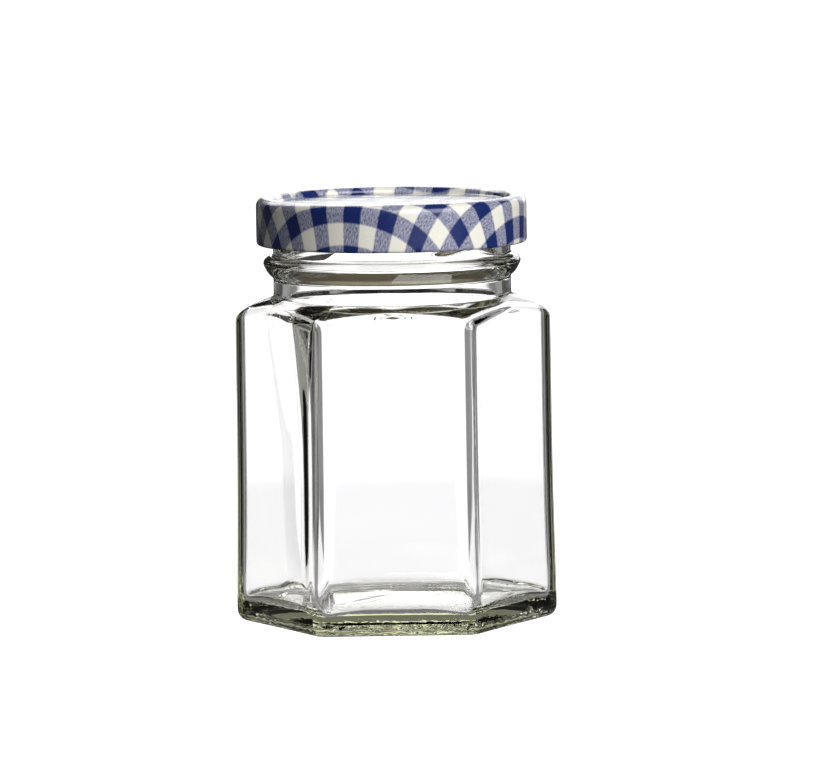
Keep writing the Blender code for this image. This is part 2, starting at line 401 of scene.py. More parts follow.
@dataclass(frozen=True)
class SodaLimeGlass:
    """Clear container glass, blown and pressed in an iron mould.

    It is nearly colourless through a wall, and olive green where light runs along it.
    The mould and the shears leave long soft waves that bend what is seen through it. The
    ring that it stands on is stippled, and breaks the light into dashes.
    """

    name: str = "soda-lime container glass"
    ior: float = 1.52
    absorbed_per_metre: tuple[float, float, float] = (13.5, 13.0, 21.0)
    absorption_headroom: float = 1.05
    wave_length: float = 9.0 * MM
    wave_height: float = 0.02 * MM
    wave_upright: float = 0.35
    grain_length: float = 1.6 * MM
    grain_height: float = 0.0015 * MM
    stipple_length: float = 1.1 * MM
    stipple_height: float = 0.24 * MM
    stipple_top: float = 2.4 * MM
    stipple_inner: float = 17.0 * MM
    stipple_outer: float = 18.7 * MM

    def material(self) -> bpy.types.Material:
        """Build the material.

        Returns:
            A clear, smooth glass whose volume absorbs a little red and more blue.
        """
        material, tree = new_material(self.name)
        place = add_node(tree, "ShaderNodeTexCoord", {}, {}).outputs["Object"]
        stretched = add_node(
            tree,
            "ShaderNodeMapping",
            {},
            {"Vector": place, "Scale": (1.0, 1.0, self.wave_upright)},
        ).outputs[0]
        reliefs = []
        for vector, length, relief_height in (
            (stretched, self.wave_length, self.wave_height),
            (place, self.grain_length, self.grain_height),
        ):
            noise = add_node(
                tree,
                "ShaderNodeTexNoise",
                {},
                {"Vector": vector, "Scale": 1 / length, "Detail": 1.0},
            ).outputs[0]
            reliefs.append((noise, relief_height))
        stipple = add_node(
            tree,
            "ShaderNodeTexVoronoi",
            {"feature": "SMOOTH_F1"},
            {"Vector": place, "Scale": 1 / self.stipple_length},
        ).outputs["Distance"]
        height = add_node(tree, "ShaderNodeSeparateXYZ", {}, {"Vector": place}).outputs[2]
        reach = add_node(
            tree, "ShaderNodeVectorMath", {"operation": "LENGTH"}, {0: place}
        ).outputs["Value"]
        for measure, none_at, full_at in (
            (height, self.stipple_top, self.stipple_top / 2),
            (reach, self.stipple_inner, self.stipple_outer),
        ):
            mask = add_node(
                tree,
                "ShaderNodeMapRange",
                {},
                {"Value": measure, "From Min": none_at, "From Max": full_at},
            ).outputs[0]
            stipple = add_node(
                tree, "ShaderNodeMath", {"operation": "MULTIPLY"}, {0: stipple, 1: mask}
            ).outputs[0]
        reliefs.append((stipple, self.stipple_height))
        below: dict[str, bpy.types.NodeSocket] = {}
        for pattern, relief_height in reliefs:
            bump = add_node(
                tree,
                "ShaderNodeBump",
                {},
                {"Strength": 1.0, "Distance": relief_height, "Height": pattern, **below},
            )
            below = {"Normal": bump.outputs[0]}
        shader = add_node(
            tree,
            "ShaderNodeBsdfPrincipled",
            {},
            {
                "Base Color": (1.0, 1.0, 1.0, 1.0),
                "Roughness": 0.0,
                "IOR": self.ior,
                "Transmission Weight": 1.0,
                **below,
            },
        )
        density = max(self.absorbed_per_metre) * self.absorption_headroom
        passed = [1 - share / density for share in self.absorbed_per_metre]
        body = add_node(
            tree,
            "ShaderNodeVolumeAbsorption",
            {},
            {"Color": (*passed, 1.0), "Density": density},
        )
        add_node(
            tree,
            "ShaderNodeOutputMaterial",
            {},
            {"Surface": shader.outputs[0], "Volume": body.outputs[0]},
        )
        return material


@dataclass(frozen=True)
class GinghamTinplate:
    """Tinplate with a cream base coat, a two-way check print in blue, and gloss lacquer.

    The sheet is printed flat and then drawn, so the checks run straight across the panel
    and bend into fans and diamonds down the skirt.
    """

    name: str = "lacquered printed tinplate"
    cream: str = "f2efe3"
    blue: str = "182966"
    hatch_dark: str = "5a5e80"
    hatch_light: str = "b6b8c8"
    stripe: float = 3.6 * MM
    turn: float = math.radians(20.6)
    shift: Point = (0.08 * MM, 3.38 * MM)
    softness: float = 0.07
    thread: float = 0.28 * MM
    thread_width: float = 0.5
    thread_range: Point = (0.28, 0.72)
    ior: float = 1.5
    roughness: Point = (0.2, 0.32)
    coat_weight: float = 0.3
    coat_roughness: float = 0.16
    peel_length: float = 1.11 * MM
    peel_height: float = 0.01 * MM
    peel_strength: float = 0.25

    def stripes(
        self, tree: bpy.types.NodeTree, sheet: bpy.types.NodeSocket, way: str
    ) -> bpy.types.NodeSocket:
        """Draw the printed stripes that run one way.

        Args:
            tree: Node tree of the material.
            sheet: Output with the place on the flat sheet, squared to the print.
            way: Axis that the stripes follow each other along.

        Returns:
            One in the printed stripes and zero between them.
        """
        scale = math.pi / (BAND_RATE * self.stripe)
        wave = add_node(
            tree,
            "ShaderNodeTexWave",
            {"wave_type": "BANDS", "bands_direction": way, "wave_profile": "SIN"},
            {"Vector": sheet, "Scale": scale, "Phase Offset": math.pi / 2},
        ).outputs["Fac"]
        low, high = 0.5 - self.softness, 0.5 + self.softness
        return add_node(
            tree, "ShaderNodeMapRange", {}, {"Value": wave, "From Min": low, "From Max": high}
        ).outputs[0]

    def print_colour(self, tree: bpy.types.NodeTree) -> bpy.types.NodeSocket:
        """Lay the two sets of stripes over each other on the cream coat.

        The half-tone checks are a slanting mottle of blue threads on cream. Real print is finer
        than a picture can show; this one is as coarse as it needs to be to show.

        Args:
            tree: Node tree of the material.

        Returns:
            The printed colour.
        """
        flat = add_node(tree, "ShaderNodeUVMap", {"uv_map": "flat_sheet"}, {}).outputs[0]
        sheet = add_node(
            tree,
            "ShaderNodeMapping",
            {},
            {
                "Vector": flat,
                "Location": (-self.shift[0], -self.shift[1], 0.0),
                "Rotation": (0.0, 0.0, -self.turn),
            },
        ).outputs[0]
        first, second = (self.stripes(tree, sheet, way) for way in ("X", "Y"))
        either = add_node(tree, "ShaderNodeMath", {"operation": "MAXIMUM"}, {0: first, 1: second})
        both = add_node(tree, "ShaderNodeMath", {"operation": "MINIMUM"}, {0: first, 1: second})
        slanted = add_node(
            tree,
            "ShaderNodeMapping",
            {},
            {
                "Vector": sheet,
                "Rotation": (0.0, 0.0, EIGHTH),
                "Scale": (1 / self.thread, self.thread_width / self.thread, 1.0),
            },
        ).outputs[0]
        threads = add_node(
            tree, "ShaderNodeTexNoise", {}, {"Vector": slanted, "Scale": 1.0, "Detail": 1.0}
        ).outputs[0]
        low, high = self.thread_range
        hatch = add_node(
            tree, "ShaderNodeMapRange", {}, {"Value": threads, "From Min": low, "From Max": high}
        ).outputs[0]
        inks = {"data_type": "RGBA"}
        half_tone = add_node(
            tree,
            "ShaderNodeMix",
            inks,
            {0: hatch, 6: linear(self.hatch_dark), 7: linear(self.hatch_light)},
        ).outputs[2]
        ground = add_node(
            tree,
            "ShaderNodeMix",
            inks,
            {0: either.outputs[0], 6: linear(self.cream), 7: half_tone},
        ).outputs[2]
        return add_node(
            tree,
            "ShaderNodeMix",
            inks,
            {0: both.outputs[0], 6: ground, 7: linear(self.blue)},
        ).outputs[2]

    def material(self) -> bpy.types.Material:
        """Build the material.

        Returns:
            A glossy printed surface.
        """
        material, tree = new_material(self.name)
        place = add_node(tree, "ShaderNodeTexCoord", {}, {}).outputs["Object"]
        peel = add_node(
            tree,
            "ShaderNodeTexNoise",
            {},
            {"Vector": place, "Scale": 1 / self.peel_length, "Detail": 2.0},
        ).outputs[0]
        glossy, scuffed = self.roughness
        gloss = add_node(
            tree, "ShaderNodeMapRange", {}, {"Value": peel, "To Min": glossy, "To Max": scuffed}
        ).outputs[0]
        relief = add_node(
            tree,
            "ShaderNodeBump",
            {},
            {"Strength": self.peel_strength, "Distance": self.peel_height, "Height": peel},
        ).outputs[0]
        shader = add_node(
            tree,
            "ShaderNodeBsdfPrincipled",
            {},
            {
                "Base Color": self.print_colour(tree),
                "Roughness": gloss,
                "IOR": self.ior,
                "Coat Weight": self.coat_weight,
                "Coat Roughness": self.coat_roughness,
                "Normal": relief,
            },
        )
        add_node(tree, "ShaderNodeOutputMaterial", {}, {"Surface": shader.outputs[0]})
        return material


@dataclass(frozen=True)
class GoldLacquer:
    """Clear gold food lacquer on the inside of the tinplate: a warm, tan, satin metal."""

    name: str = "gold-lacquered tinplate"
    colour: str = "efe3c2"
    metallic: float = 0.2
    roughness: Point = (0.3, 0.5)
    drawn_length: float = 3.33 * MM

    def material(self) -> bpy.types.Material:
        """Build the material.

        Returns:
            A satin metal, uneven in its gloss as drawn sheet is.
        """
        material, tree = new_material(self.name)
        place = add_node(tree, "ShaderNodeTexCoord", {}, {}).outputs["Object"]
        drawn = add_node(
            tree,
            "ShaderNodeTexNoise",
            {},
            {"Vector": place, "Scale": 1 / self.drawn_length, "Detail": 3.0},
        ).outputs[0]
        glossy, satin = self.roughness
        gloss = add_node(
            tree, "ShaderNodeMapRange", {}, {"Value": drawn, "To Min": glossy, "To Max": satin}
        ).outputs[0]
        shader = add_node(
            tree,
            "ShaderNodeBsdfPrincipled",
            {},
            {"Base Color": linear(self.colour), "Metallic": self.metallic, "Roughness": gloss},
        )
        add_node(tree, "ShaderNodeOutputMaterial", {}, {"Surface": shader.outputs[0]})
        return material


@dataclass
class GlassJar:
    """The jar: six flat sides, a round neck with its bead and thread, and a thick base.

    The fields named for rings say where a run's rings lie, as shares of its height or width.
    """

    levels: int = 1
    corner_end: float = math.radians(2.7)
    corner_steps: Rings = (0.34, 0.68, 1.0)
    side_steps: Rings = (0.08, 0.22, 0.4, 0.6, 0.8)
    even_from: float = 0.6
    crisp: float = 0.3 * MM
    apothem_low: float = 26.53 * MM
    apothem_high: float = 26.0 * MM
    waist: float = 0.18 * MM
    corner: float = 2.2 * MM
    heel: float = 2.3 * MM
    wall_top: float = 56.6 * MM
    wall_rings: Rings = (0.05, 0.25, 0.5, 0.75, 0.93, 1.0)
    dome_foot: float = 61.3 * MM
    dome_rings: Rings = (0.1, 0.22, 0.34, 0.44, 0.53, 0.61, 0.69, 0.76, 0.83, 0.91, 1.0)
    dome_slope: float = 0.303
    dome_blend: Point = (3.2 * MM, 7.2 * MM)
    neck_fillet: float = 0.65 * MM
    neck: float = 22.4 * MM
    bead: float = 24.3 * MM
    bead_low: float = 65.2 * MM
    bead_wide: float = 67.9 * MM
    bead_high: float = 69.3 * MM
    bead_rings_below: Rings = (0.0, 0.2, 0.45, 0.7, 0.9, 1.0)
    bead_rings_above: Rings = (0.35, 0.65, 0.87, 0.98, 1.0)
    thread_rings: int = 18
    ramps: int = 4
    ramp_height: float = 1.2 * MM
    ramp_half: float = 0.7 * MM
    ramp_start: float = math.radians(-69)
    ramp_length: float = math.radians(62)
    ramp_taper: float = math.radians(5)
    ramp_low: float = 71.0 * MM
    ramp_high: float = 76.3 * MM
    lip_top: float = 78.4 * MM
    lip: float = 0.9 * MM
    mouth: float = 20.3 * MM
    bore: float = 20.0 * MM
    bore_rings: Rings = (0.3, 0.65, 1.0)
    wall: float = 2.1 * MM
    inner_fillet: float = 0.9 * MM
    inner_foot: float = 60.15 * MM
    inner_slope: float = 0.3
    inner_blend: Point = (1.0 * MM, 1.0 * MM)
    inner_dome_rings: Rings = (0.92, 0.84, 0.76, 0.67, 0.57, 0.46, 0.34, 0.2, 0.0)
    inner_wall_top: float = 56.5 * MM
    inner_wall_rings: Rings = (0.08, 0.3, 0.55, 0.8, 0.95, 1.0)
    inner_corner: float = 2.7 * MM
    inner_heel: float = 2.4 * MM
    floor: float = 4.0 * MM
    floor_drop: float = 0.95 * MM
    sag_height: float = 3.0 * MM
    crown: float = 0.7 * MM
    floor_rings: Rings = (0.9, 0.65, 0.35, 0.1)
    rest_width: float = 2.6 * MM
    rest_edge: Point = (0.25 * MM, 0.1 * MM)
    rest_edge_rise: float = 0.08
    hollow_step: float = 1.2 * MM
    hollow: float = 1.9 * MM
    hollow_start: float = 0.1
    hollow_rings: Stops = ((0.4, 0.97), (0.7, 0.86), (0.92, 0.68), (1.0, 0.5))
    ripple_length: float = 11.0 * MM
    ripple_height: float = 0.05 * MM
    ridge_height: float = 1.5 * MM
    ridge_side: float = math.radians(-150)
    ridge_widens: float = 0.68
    ridge_crest: Point = (4.6 * MM, 9.0 * MM)
    ridge_flank: Point = (2.4 * MM, 7.8 * MM)
    ridge_far_flank: float = 7.0 * MM
    ridge_share: Point = (0.3, 1.0)
    ridge_foot: float = 0.4

    def corner_turns(self) -> Rings:
        """Work out the directions of one sector's points from its corner onwards.

        Returns:
            The directions in radians, crowded near the corner at each end.
        """
        half = SECTOR / 2
        right = [self.corner_end * share for share in self.corner_steps]
        right += [mix(self.corner_end, half, share) for share in self.side_steps]
        return (0.0, *right, half, *(SECTOR - turn for turn in reversed(right)))

    def evenness(self, share: float) -> float:
        """Return how even a shoulder ring's points are: crowded below, even at the neck."""
        return max(0.0, (share - self.even_from) / (1 - self.even_from))

    def outer_apothem(self, height: float) -> float:
        """Half the width across flats of the outside.

        Args:
            height: Height above the base.

        Returns:
            The distance from the axis to a side, which tapers and draws in at the waist.
        """
        share = min(height / self.wall_top, 1.0)
        swell = self.waist * math.sin(math.pi * share) ** 2
        return mix(self.apothem_low, self.apothem_high, share) - swell

    def outside(self, height: float) -> RadiusAt:
        """Return the radius function of the outer walls at a height."""
        return hexagon(self.outer_apothem(height), self.corner)

    def inside(self, height: float) -> RadiusAt:
        """Return the radius function of the inner walls at a height."""
        return hexagon(self.outer_apothem(height) - self.wall, self.inner_corner)

    def threaded(self, height: float) -> RadiusAt:
        """Radius function of the neck with its thread ramps.

        Args:
            height: Height of the ring.

        Returns:
            The radius for each direction.
        """
        spacing = math.tau / self.ramps

        def radius_at(direction: float) -> float:
            """Radius of the neck, out on a ramp's ridge.

            Args:
                direction: Direction in radians.

            Returns:
                The radius in that direction.
            """
            along = (direction - self.ramp_start) % spacing
            middle = mix(self.ramp_low, self.ramp_high, along / self.ramp_length)
            across = abs(height - middle) / self.ramp_half
            if along > self.ramp_length or across > 1:
                return self.neck
            ends = min(1.0, along / self.ramp_taper, (self.ramp_length - along) / self.ramp_taper)
            return self.neck + self.ramp_height * math.cos(math.pi / 2 * across) * ends

        return radius_at

    def grow_base(self, cage: RingCage) -> None:
        """Grow the hollow underside, the ring the jar rests on, and the heel.

        Args:
            cage: The jar's skin, not yet begun.
        """
        rest_outer = self.outer_apothem(0.0) - self.heel
        rest_inner = rest_outer - self.rest_width
        hollow = rest_inner - self.hollow_step
        cage.begin(hollow * self.hollow_start, self.hollow)
        for share, depth in self.hollow_rings:
            cage.grow(self.hollow * depth, circle(hollow * share))
        edge_inner, edge_outer = self.rest_edge
        cage.grow(self.hollow * self.rest_edge_rise, circle(rest_inner - edge_inner))
        cage.grow(0.0, circle(rest_inner + edge_outer))
        outline = hexagon(rest_outer, self.corner)
        cage.grow(0.0, between(outline, rest_inner, 0.5), 0.5)
        cage.grow(0.0, outline, 0.0)
        for across, height in arc((-self.heel, self.heel), self.heel, -90, 0, 5)[1:]:
            cage.grow(height, inset(self.outside(height), -across), 0.0)

    def grow_walls(self, cage: RingCage) -> None:
        """Grow the six sides, and the shoulder's cone that cuts them off in arches.

        Args:
            cage: The jar's skin, grown up to the heel.
        """
        for share in self.wall_rings:
            height = mix(self.heel, self.wall_top, share)
            cage.grow(height, self.outside(height), 0.0)
        foot = self.neck + self.neck_fillet
        for share in self.dome_rings:
            height = mix(self.wall_top, self.dome_foot, share)
            dome = foot + (self.dome_foot - height) / self.dome_slope
            outline = under_dome(self.outside(height), dome, self.dome_blend)
            cage.grow(height, outline if share < 1 else circle(foot), self.evenness(share))
        centre = (foot, self.dome_foot + self.neck_fillet)
        for radius, height in arc(centre, self.neck_fillet, -90, -180, 3)[1:]:
            cage.grow(height, circle(radius))

    def grow_neck(self, cage: RingCage) -> None:
        """Grow the neck's bead, its threads and its lip, over into the mouth.

        Args:
            cage: The jar's skin, grown up to the foot of the neck.
        """
        rise = self.bead - self.neck
        cage.grow(self.bead_low - self.crisp, circle(self.neck))
        for share in self.bead_rings_below:
            swell = (share + math.sqrt(1 - (1 - share) ** 2)) / 2
            height = mix(self.bead_low, self.bead_wide, share)
            cage.grow(height, circle(self.neck + rise * swell))
        for share in self.bead_rings_above:
            swell = math.sqrt(1 - share ** 2)
            height = mix(self.bead_wide, self.bead_high, share)
            cage.grow(height, circle(self.neck + rise * swell))
        low, high = self.bead_high + self.crisp, self.lip_top - self.lip
        for step in range(self.thread_rings + 1):
            height = mix(low, high, step / self.thread_rings)
            cage.grow(height, self.threaded(height))
        for radius, height in arc((self.neck - self.lip, high), self.lip, 0, 90, 4)[1:]:
            cage.grow(height, circle(radius))
        for radius, height in arc((self.mouth + self.lip, high), self.lip, 90, 180, 4):
            cage.grow(height, circle(radius), 1.0, Facing.INSIDE)

    def grow_inside(self, cage: RingCage) -> None:
        """Grow the bore, the inner shoulder and walls, and the domed floor.

        Args:
            cage: The jar's skin, grown over the lip into the mouth.
        """
        inside = Facing.INSIDE
        foot = self.bore + self.inner_fillet
        top = self.inner_foot + self.inner_fillet
        for share in self.bore_rings:
            height = mix(self.lip_top - self.lip, top, share)
            cage.grow(height, circle(self.bore), 1.0, inside)
        for radius, height in arc((foot, top), self.inner_fillet, 180, 270, 3)[1:]:
            cage.grow(height, circle(radius), 1.0, inside)
        for share in self.inner_dome_rings:
            height = mix(self.inner_wall_top, self.inner_foot, share)
            dome = foot + (self.inner_foot - height) / self.inner_slope
            outline = under_dome(self.inside(height), dome, self.inner_blend)
            cage.grow(height, outline, self.evenness(share), inside)
        low = self.floor + self.inner_heel
        for share in self.inner_wall_rings:
            height = mix(self.inner_wall_top, low, share)
            cage.grow(height, self.inside(height), 0.0, inside)
        wall = self.inside(low)
        for across, height in arc((-self.inner_heel, low), self.inner_heel, 0, -90, 4)[1:]:
            cage.grow(height, inset(wall, -across), 0.0, inside)
        reach = self.outer_apothem(low) - self.wall - self.inner_heel
        for share in self.floor_rings:
            height = self.floor + self.crown * (1 - share ** 2)
            cage.grow(height, circle(share * reach), 1.0, inside)

    def settle(self, body: bpy.types.Object) -> None:
        """Give the blown inside its soft ripples, its low corners and its thick streak.

        The floor and heel sag towards the corners. One side holds a long ridge of thicker
        glass next to a corner, wide at the shoulder and thin at the base.

        Args:
            body: The jar's finished skin, with a vertex group of its inside.
        """
        ridge = body.vertex_groups.new(name="thick_streak")
        sag = body.vertex_groups.new(name="corner_sag")
        inner = body.vertex_groups[Facing.INSIDE.value].index
        for vert in body.data.vertices:
            held = [group.weight for group in vert.groups if group.group == inner]
            if not held or held[0] < 0.5:
                continue
            place = vert.co
            apothem = self.outer_apothem(place.z) - self.wall
            above = (place.z - self.floor - self.crown) / self.sag_height
            low = 1 - min(max(above, 0.0), 1.0)
            corner = (place.xy.length / apothem - 1) / CORNER_REACH
            if low > 0 and corner > 0:
                sag.add([vert.index], min(corner, 1.0) * low, "REPLACE")
            turn = wrapped(math.atan2(place.y, place.x) - self.ridge_side, math.tau)
            if abs(turn) > SECTOR / 2 or not self.floor < place.z < self.inner_foot:
                continue
            along = apothem * (math.tan(SECTOR / 2) - math.tan(turn))
            share = place.z / self.inner_wall_top
            upper = max(0.0, (share - self.ridge_widens) / (1 - self.ridge_widens))
            crest, flank = mix(*self.ridge_crest, upper), mix(*self.ridge_flank, upper)
            height = mix(*self.ridge_share, upper) * min(1.0, share / self.ridge_foot)
            width = flank if along <= crest else self.ridge_far_flank
            weight = height * max(0.0, 1 - abs(along - crest) / width)
            ridge.add([vert.index], min(weight, 1.0), "REPLACE")
        texture = bpy.data.textures.new("blown ripple", "CLOUDS")
        texture.noise_scale = self.ripple_length
        texture.noise_depth = 1
        for name, group, direction, strength, level in (
            ("ripple", Facing.INSIDE.value, "NORMAL", self.ripple_height, 0.5),
            ("streak", ridge.name, "NORMAL", self.ridge_height, 0.0),
            ("sag", sag.name, "Z", -self.floor_drop, 0.0),
        ):
            push = body.modifiers.new(name, "DISPLACE")
            push.vertex_group = group
            push.direction = direction
            push.strength = strength
            push.mid_level = level
        body.modifiers["ripple"].texture = texture
        body.modifiers["ripple"].texture_coords = "LOCAL"
        apply_modifiers(body)

    def build(self) -> bpy.types.Object:
        """Model and dress the jar.

        Returns:
            The jar's object.
        """
        turns = self.corner_turns()
        cage = RingCage("moulded_jar", SIDES * len(turns), turns)
        self.grow_base(cage)
        self.grow_walls(cage)
        self.grow_neck(cage)
        self.grow_inside(cage)
        body = cage.finish(self.levels)
        self.settle(body)
        body.data.materials.append(SodaLimeGlass().material())
        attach(body, BODY)
        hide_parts("glass_jar")
        LOG.info("glass jar: %d faces", len(body.data.polygons))
        return body


@dataclass
class TwistOffLid:
    """The pressed lid: sunk panel, raised rim, straight skirt, rolled edge and lugs.

    The fields named for rings say where a run's rings lie, as shares of its height or width.
    """

    points: int = 96
    levels: int = 2
    start: float = 0.08
    panel_rings: Rings = (0.35, 0.7, 0.95)
    inner_skirt_rings: Rings = (0.3, 0.9, 1.0)
    skirt_rings: Rings = (0.1, 0.5, 0.9)
    radius: float = 25.5 * MM
    sheet: float = 0.28 * MM
    top: float = 80.3 * MM
    bottom: float = 71.4 * MM
    panel: float = 79.05 * MM
    panel_radius: float = 21.6 * MM
    rim_inner: float = 22.0 * MM
    rim_bend: float = 1.1 * MM
    shoulder_bend: float = 1.55 * MM
    curl: float = 0.55 * MM
    tuck: float = 1.5 * MM
    lugs: int = 4
    lug_direction: float = math.radians(-117)
    lug_half: float = math.radians(7.5)
    lug_reach: float = 1.05 * MM
    crest: float = 23.4 * MM
    draw: float = 1.03
    rim_hold: float = 0.3 * MM
    facing_limit: float = 0.3

    def crown(self, depth: float) -> list[Point]:
        """Profile from the middle of the panel, over the rim, to the skirt.

        Args:
            depth: How deep in the sheet the profile runs.

        Returns:
            Points as radius and height.
        """
        rim = (self.rim_inner + self.rim_bend, self.top - self.rim_bend)
        shoulder = (self.radius - self.shoulder_bend, self.top - self.shoulder_bend)
        height = self.panel - depth
        profile = [(self.panel_radius * share, height) for share in self.panel_rings]
        profile.append((self.panel_radius + depth / 2, height))
        profile += arc(rim, self.rim_bend - depth, 180, 90, 5)
        profile += arc(shoulder, self.shoulder_bend - depth, 90, 0, 6)
        return profile

    def lugged(self, radius: float) -> RadiusAt:
        """Radius function of a ring of the rolled edge, pressed in at the lugs.

        Args:
            radius: Radius between the lugs.

        Returns:
            The radius for each direction.
        """
        spacing = math.tau / self.lugs

        def radius_at(direction: float) -> float:
            """Radius of the edge, less where a lug is pressed in.

            Args:
                direction: Direction in radians.

            Returns:
                The radius in that direction.
            """
            off = abs(wrapped(direction - self.lug_direction, spacing))
            share = max(0.0, min(1.0, 2 * (1 - off / self.lug_half)))
            return radius - self.lug_reach * share

        return radius_at

    def build(self) -> bpy.types.Object:
        """Model and dress the lid.

        Returns:
            The lid's object.
        """
        inside = Facing.INSIDE
        cage = RingCage("gingham_lid", self.points)
        cage.begin(self.panel_radius * self.start, self.panel - self.sheet)
        for radius, height in self.crown(self.sheet):
            cage.grow(height, circle(radius), 1.0, inside)
        centre = (self.radius - self.curl, self.bottom + self.curl)
        inner_skirt = self.radius - self.sheet
        for share in self.inner_skirt_rings:
            height = mix(self.top - self.shoulder_bend, self.bottom + self.tuck, share)
            cage.grow(height, circle(inner_skirt), 1.0, inside)
        for radius, height in arc(centre, self.curl, 110, 270, 7):
            pressed = radius < centre[0] - self.curl / 4
            cage.grow(height, self.lugged(radius) if pressed else circle(radius))
        for radius, height in arc(centre, self.curl, 270, 360, 3)[1:]:
            cage.grow(height, circle(radius))
        for share in self.skirt_rings:
            height = mix(self.bottom + self.curl, self.top - self.shoulder_bend, share)
            cage.grow(height, circle(self.radius))
        for radius, height in reversed(self.crown(0.0)):
            cage.grow(height, circle(radius))
        cage.grow(self.panel, circle(self.panel_radius * self.start))
        body = cage.finish(self.levels)
        body.data.materials.append(GinghamTinplate().material())
        body.data.materials.append(GoldLacquer().material())
        self.line_inside(body)
        self.unroll(body)
        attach(body, BODY)
        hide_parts("lid")
        LOG.info("lid: %d faces", len(body.data.polygons))
        return body

    def unroll(self, body: bpy.types.Object) -> None:
        """Map each point to where it lay on the flat sheet, in metres from the middle.

        The draw keeps the sheet's area, so a point down the skirt comes from a wider circle.

        Args:
            body: The lid.
        """
        layer = body.data.uv_layers.new(name="flat_sheet")
        for loop in body.data.loops:
            place = body.data.vertices[loop.vertex_index].co
            reach = max(place.xy.length, TINY)
            drop = self.top - place.z if reach > self.crest else 0.0
            flat = math.sqrt(reach ** 2 + 2 * self.radius * self.draw * max(drop, 0.0)) / reach
            layer.data[loop.index].uv = (place.x * flat, -place.y * flat)

    def line_inside(self, body: bpy.types.Object) -> None:
        """Give the lid's inner faces the gold lacquer, up to the turn of the rolled edge.

        Args:
            body: The lid, with the lacquer in its second material slot.
        """
        for face in body.data.polygons:
            middle = face.center
            outwards = Vector((middle.x, middle.y, 0.0)).normalized()
            below = face.normal.z < -self.facing_limit and middle.z > self.bottom + self.tuck
            inwards = face.normal.dot(outwards) < -self.facing_limit
            inner = inwards and middle.xy.length > self.rim_inner + self.rim_hold
            covered = middle.z < self.top - self.shoulder_bend or face.normal.z < 0
            if below or (inner and covered and middle.z > self.bottom + self.curl):
                face.material_index = 1


